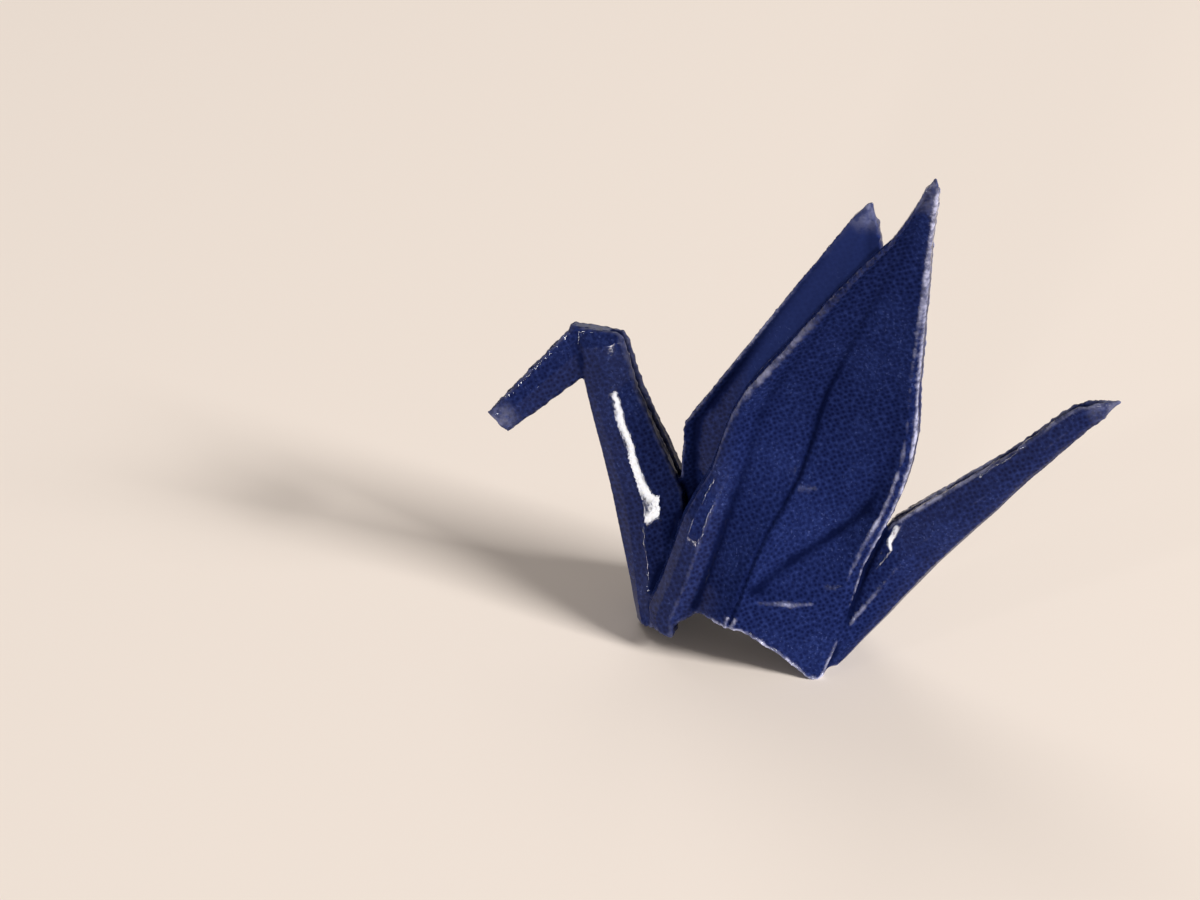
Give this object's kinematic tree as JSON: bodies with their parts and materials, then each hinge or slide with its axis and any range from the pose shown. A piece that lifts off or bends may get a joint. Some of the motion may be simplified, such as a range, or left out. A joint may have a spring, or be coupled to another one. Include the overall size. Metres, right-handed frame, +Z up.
{
  "type": "origami crane",
  "caption": "Small paper crane folded from one sheet and lacquered: raised wings, open belly, slim neck with a bent beak and a pointed tail; a table ornament or charm.",
  "frame": {"origin": "on the floor, under the middle of the crane's box", "axes": "+X towards the tail, -Y towards the near wing, +Z up"},
  "size_m": [0.018, 0.0056, 0.0162],
  "materials": {
    "lacquered_paper": "gloss clear lacquer over navy paper"
  },
  "bodies": {
    "root": {"folded_crane": "lacquered_paper"}
  },
  "joints": []
}
